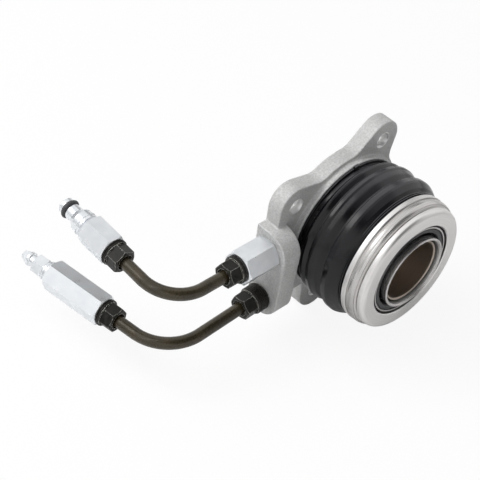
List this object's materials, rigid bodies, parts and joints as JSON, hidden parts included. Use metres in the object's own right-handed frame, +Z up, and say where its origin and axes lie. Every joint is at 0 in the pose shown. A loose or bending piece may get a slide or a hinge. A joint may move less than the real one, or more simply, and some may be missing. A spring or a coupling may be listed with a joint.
{
  "type": "concentric slave cylinder",
  "caption": "Concentric slave cylinder: cast housing with ears, rubber boot, sliding release bearing, and bent feed and bleed pipes with hexagon couplings.",
  "frame": {"origin": "centre of the guide tube's bore, on the gearbox mounting face", "axes": "+Y runs along the bore from the bearing to the mounting face, the ports face -X and +Z is up"},
  "size_m": [0.177, 0.1508, 0.1095],
  "materials": {
    "cast_aluminium": "die cast, fine grain",
    "bright_steel": "turned and ground",
    "guide_steel": "drawn tube, dark oiled",
    "spring_steel": "drawn wire and strip",
    "zinc_plate": "bright zinc plate",
    "black_oxide": "black oxide with worn edges",
    "olive_coat": "glossy olive brown coating",
    "boot_rubber": "smooth moulded",
    "seal_rubber": "smooth",
    "piston_plastic": "moulded, glass filled"
  },
  "bodies": {
    "housing": {"housing": "cast_aluminium", "guide_tube": "guide_steel", "guide_tube_oring": "seal_rubber", "stop_ring": "spring_steel", "port_adapter": "zinc_plate", "feed_pipe": "olive_coat", "bleed_pipe": "olive_coat", "feed_port_nut": "black_oxide", "bleed_port_nut": "black_oxide", "feed_coupling_nut": "black_oxide", "bleed_coupling_nut": "black_oxide", "feed_coupling": "zinc_plate", "plug_oring": "seal_rubber", "bleed_coupling": "zinc_plate", "dust_boot": "boot_rubber", "preload_spring": "spring_steel"},
    "piston": {"piston": "piston_plastic", "piston_seal": "seal_rubber", "thrust_sleeve": "bright_steel", "bearing_carrier": "bright_steel", "bearing_shell": "bright_steel", "rear_race": "bright_steel", "centering_spring": "spring_steel", "seal_case": "bright_steel", "front_seal": "seal_rubber"},
    "front_ring": {"front_ring": "bright_steel"},
    "cage": {"ball_cage": "piston_plastic", "bearing_balls": "bright_steel"},
    "bleed_screw": {"bleed_screw": "zinc_plate"}
  },
  "joints": [
    {"name": "release_slide", "type": "slide", "parent": "housing", "child": "piston", "axis": [0, 1, 0], "range_m": [0, 0.015], "stiffness_N_per_m": 2000, "springref_m": -0.02, "deforming": ["dust_boot", "preload_spring"]},
    {"name": "bearing_spin", "type": "hinge", "parent": "piston", "child": "front_ring", "pos_m": [0, -0.0557, 0], "axis": [0, 1, 0], "continuous": true},
    {"name": "cage_spin", "type": "hinge", "parent": "piston", "child": "cage", "pos_m": [0, -0.0557, 0], "axis": [0, 1, 0], "continuous": true},
    {"name": "bleed_screw_turn", "type": "hinge", "parent": "housing", "child": "bleed_screw", "pos_m": [-0.12824, 0.06906, -0.02704], "axis": [-0.1235, 0.9922, 0.0191], "range_deg": [0, 360]}
  ],
  "couplings": [
    {"joint": "cage_spin", "follows": "bearing_spin", "ratio": 0.5}
  ]
}
